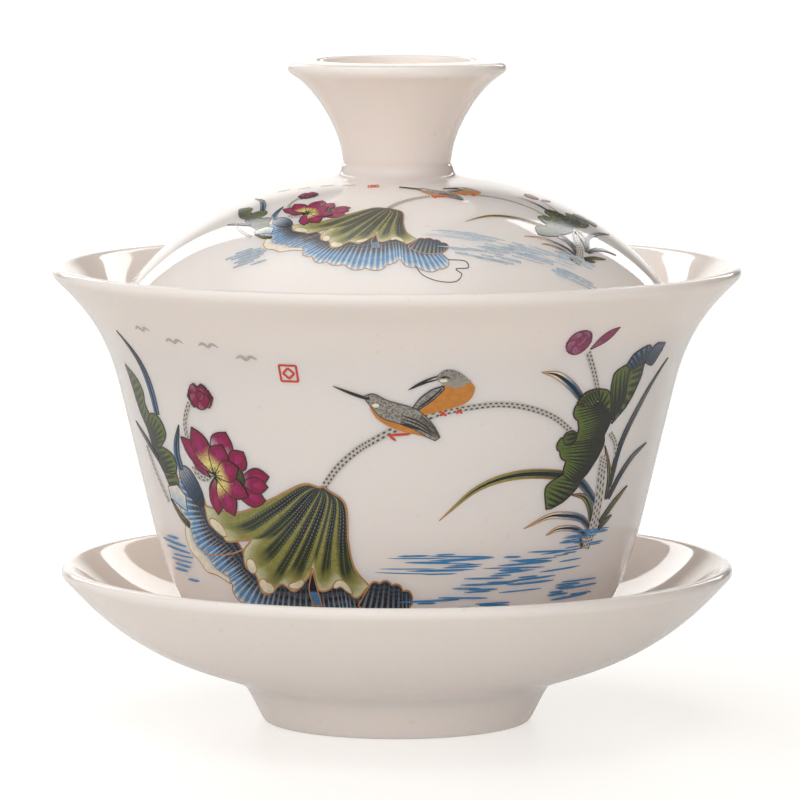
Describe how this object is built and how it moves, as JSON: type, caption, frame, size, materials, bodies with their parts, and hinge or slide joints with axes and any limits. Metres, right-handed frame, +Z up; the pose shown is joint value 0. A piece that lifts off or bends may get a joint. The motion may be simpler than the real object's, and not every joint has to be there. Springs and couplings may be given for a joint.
{
  "type": "lidded tea bowl with saucer",
  "caption": "Porcelain tea bowl with a flared lip, a domed lid with a hollow trumpet knob and a saucer; the bowl lifts off the saucer and the lid lifts off the bowl.",
  "frame": {"origin": "centre of the saucer's foot, on the table", "axes": "+Z up along the axis that all three pieces share; -Y towards the decorated front; +X to the right seen from the front"},
  "size_m": [0.104, 0.104, 0.1005],
  "materials": {
    "saucer_porcelain": "glossy clear glaze over warm white porcelain",
    "bowl_porcelain": "glossy clear glaze over warm white porcelain",
    "lid_porcelain": "glossy clear glaze over warm white porcelain"
  },
  "bodies": {
    "saucer": {"saucer": "saucer_porcelain"},
    "bowl": {"bowl": "bowl_porcelain"},
    "lid": {"lid": "lid_porcelain"}
  },
  "joints": [
    {"name": "bowl_lift", "type": "slide", "parent": "saucer", "child": "bowl", "axis": [0, 0, 1], "range_m": [0, 0.05]},
    {"name": "lid_lift", "type": "slide", "parent": "bowl", "child": "lid", "axis": [0, 0, 1], "range_m": [0, 0.05]}
  ]
}
